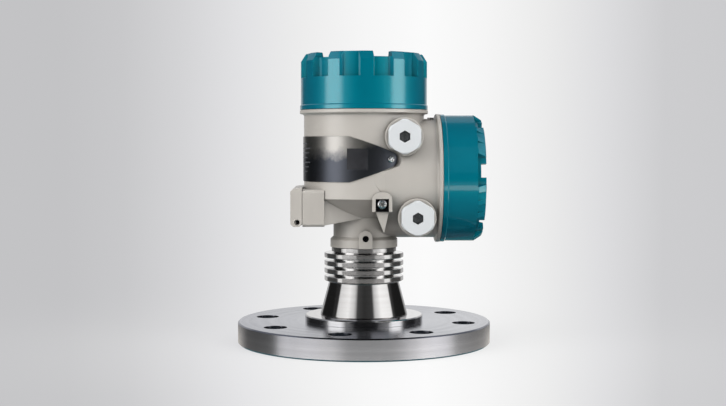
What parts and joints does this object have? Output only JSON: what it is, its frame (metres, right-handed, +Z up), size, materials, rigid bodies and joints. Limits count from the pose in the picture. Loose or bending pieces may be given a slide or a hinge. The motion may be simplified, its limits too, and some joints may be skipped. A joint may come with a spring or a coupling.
{
  "type": "radar level transmitter",
  "caption": "Two-chamber transmitter housing with castellated screw covers on a finned swivel neck, above a bolted flange with a flush lens antenna.",
  "frame": {"origin": "centre of the flange's sealing face, which the part stands on", "axes": "+Z up along the antenna and neck, +X towards the terminal cover, -Y towards the cable entries"},
  "size_m": [0.2, 0.2, 0.2274],
  "materials": {
    "flange_steel": "stainless steel, fine-turned faces",
    "neck_steel": "stainless steel, bright turned",
    "guide_metal": "stainless steel, polished inside",
    "lens_polymer": "white fluoropolymer, machined",
    "seal_rubber": "fluoro-rubber, satin",
    "process_glass": "sealing glass fused round the guide",
    "housing_paint": "warm grey powder coat on die-cast aluminium",
    "cover_paint": "blue-green powder coat on die-cast aluminium, satin",
    "plate_steel": "dark anodised plate, bare of print",
    "screw_steel": "zinc-plated or stainless screws",
    "dark_steel": "blackened set screws",
    "plug_metal": "nickel-plated, satin",
    "module_case": "glass-filled polyamide",
    "module_metal": "milled metal case",
    "window_clear": "clear polycarbonate over a dark display",
    "terminal_plastic": "green polyamide",
    "feed_resin": "potted epoxy resin",
    "key_plastic": "dark grey plastic"
  },
  "bodies": {
    "process_connection": {"process_flange": "flange_steel", "collar_plate": "neck_steel", "transition_cone": "neck_steel", "cooling_neck": "neck_steel", "antenna_lens": "lens_polymer", "lens_seal": "seal_rubber", "feed_horn": "guide_metal", "wave_guide": "guide_metal", "process_seal": "process_glass", "swivel_ring": "dark_steel", "neck_seal": "seal_rubber"},
    "housing_unit": {"housing": "housing_paint", "nameplate": "plate_steel", "nameplate_screws": "screw_steel", "ground_clamp": "dark_steel", "ground_screw": "screw_steel", "neck_lock_screw": "dark_steel", "cover_lock_screws": "dark_steel", "radar_module": "module_metal", "electronics_cassette": "module_case", "display_module": "module_case", "display_window": "window_clear", "feedthrough": "feed_resin", "terminal_carrier": "module_case", "terminal_block": "terminal_plastic", "terminal_screws": "screw_steel", "key_membrane": "seal_rubber", "key_cover_pin": "screw_steel"},
    "top_cover_lift": {"top_cover_seal": "seal_rubber"},
    "top_cover_turn": {"top_cover": "cover_paint"},
    "side_cover_lift": {"side_cover_seal": "seal_rubber"},
    "side_cover_turn": {"side_cover": "cover_paint"},
    "upper_plug_lift": {"upper_plug_seal": "seal_rubber"},
    "upper_plug_turn": {"upper_plug": "plug_metal"},
    "lower_plug_lift": {"lower_plug_seal": "seal_rubber"},
    "lower_plug_turn": {"lower_plug": "plug_metal"},
    "key_cover_leaf": {"key_cover": "housing_paint", "key_cover_screw": "screw_steel"},
    "key_1_stem": {"key_1": "key_plastic"},
    "key_2_stem": {"key_2": "key_plastic"},
    "key_3_stem": {"key_3": "key_plastic"},
    "key_4_stem": {"key_4": "key_plastic"}
  },
  "joints": [
    {"name": "housing_swivel", "type": "hinge", "parent": "process_connection", "child": "housing_unit", "pos_m": [0, 0, 0.08], "axis": [0, 0, 1], "range_deg": [-175, 175]},
    {"name": "top_cover_slide", "type": "slide", "parent": "housing_unit", "child": "top_cover_lift", "axis": [0, 0, 1], "range_m": [0, 0.0075]},
    {"name": "top_cover_turn_hinge", "type": "hinge", "parent": "top_cover_lift", "child": "top_cover_turn", "pos_m": [0, 0, 0.1836], "axis": [0, 0, 1], "range_deg": [0, 1800]},
    {"name": "side_cover_slide", "type": "slide", "parent": "housing_unit", "child": "side_cover_lift", "axis": [1, 0, 0], "range_m": [0, 0.0075]},
    {"name": "side_cover_turn_hinge", "type": "hinge", "parent": "side_cover_lift", "child": "side_cover_turn", "pos_m": [0.0594, 0, 0.13], "axis": [1, 0, 0], "range_deg": [0, 1800]},
    {"name": "upper_plug_slide", "type": "slide", "parent": "housing_unit", "child": "upper_plug_lift", "axis": [0, -1, 0], "range_m": [0, 0.0075]},
    {"name": "upper_plug_turn_hinge", "type": "hinge", "parent": "upper_plug_lift", "child": "upper_plug_turn", "pos_m": [0.0297, -0.0485, 0.1625], "axis": [0, -1, 0], "range_deg": [0, 1800]},
    {"name": "lower_plug_slide", "type": "slide", "parent": "housing_unit", "child": "lower_plug_lift", "axis": [0, -1, 0], "range_m": [0, 0.0075]},
    {"name": "lower_plug_turn_hinge", "type": "hinge", "parent": "lower_plug_lift", "child": "lower_plug_turn", "pos_m": [0.0396, -0.0485, 0.101], "axis": [0, -1, 0], "range_deg": [0, 1800]},
    {"name": "key_cover_hinge", "type": "hinge", "parent": "housing_unit", "child": "key_cover_leaf", "pos_m": [-0.0514, 0, 0.0969], "axis": [0, -1, 0], "range_deg": [0, 90]},
    {"name": "key_1_push", "type": "slide", "parent": "housing_unit", "child": "key_1_stem", "axis": [1, 0, 0], "range_m": [0, 0.0012], "stiffness_N_per_m": 800},
    {"name": "key_2_push", "type": "slide", "parent": "housing_unit", "child": "key_2_stem", "axis": [1, 0, 0], "range_m": [0, 0.0012], "stiffness_N_per_m": 800},
    {"name": "key_3_push", "type": "slide", "parent": "housing_unit", "child": "key_3_stem", "axis": [1, 0, 0], "range_m": [0, 0.0012], "stiffness_N_per_m": 800},
    {"name": "key_4_push", "type": "slide", "parent": "housing_unit", "child": "key_4_stem", "axis": [1, 0, 0], "range_m": [0, 0.0012], "stiffness_N_per_m": 800}
  ],
  "couplings": [
    {"joint": "top_cover_slide", "follows": "top_cover_turn_hinge", "m_per_rad": 0.0002387},
    {"joint": "side_cover_slide", "follows": "side_cover_turn_hinge", "m_per_rad": 0.0002387},
    {"joint": "upper_plug_slide", "follows": "upper_plug_turn_hinge", "m_per_rad": 0.0002387},
    {"joint": "lower_plug_slide", "follows": "lower_plug_turn_hinge", "m_per_rad": 0.0002387}
  ]
}
